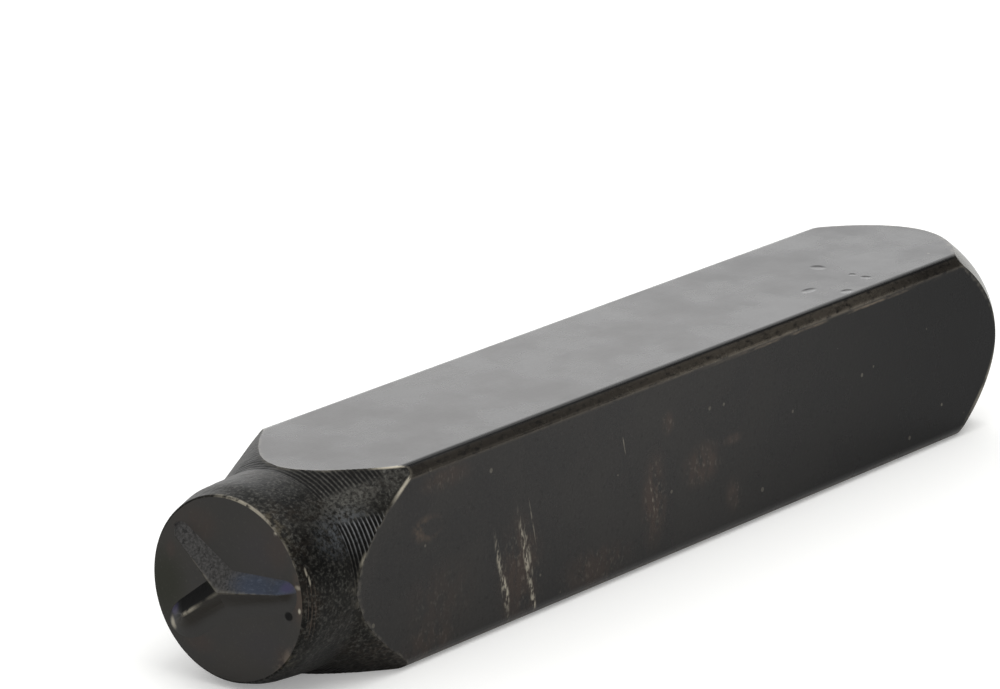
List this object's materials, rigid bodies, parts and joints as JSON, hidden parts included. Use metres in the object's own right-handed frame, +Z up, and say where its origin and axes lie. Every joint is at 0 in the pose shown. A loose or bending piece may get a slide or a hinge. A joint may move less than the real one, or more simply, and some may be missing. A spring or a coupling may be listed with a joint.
{
  "type": "letter punch",
  "caption": "Square steel punch lying on its side, with a raised letter on a turned round face at one end and a chamfered struck face at the other.",
  "frame": {"origin": "middle of the overall length, on the side that the punch rests on", "axes": "+X along the bar from the character end to the struck end, +Z up from the resting side"},
  "size_m": [0.0706, 0.012, 0.012],
  "materials": {
    "blackened_tool_steel": "black oxide over a ground and turned surface, satin, worn to bare steel along some edges"
  },
  "bodies": {
    "root": {"letter_punch": "blackened_tool_steel"}
  },
  "joints": []
}
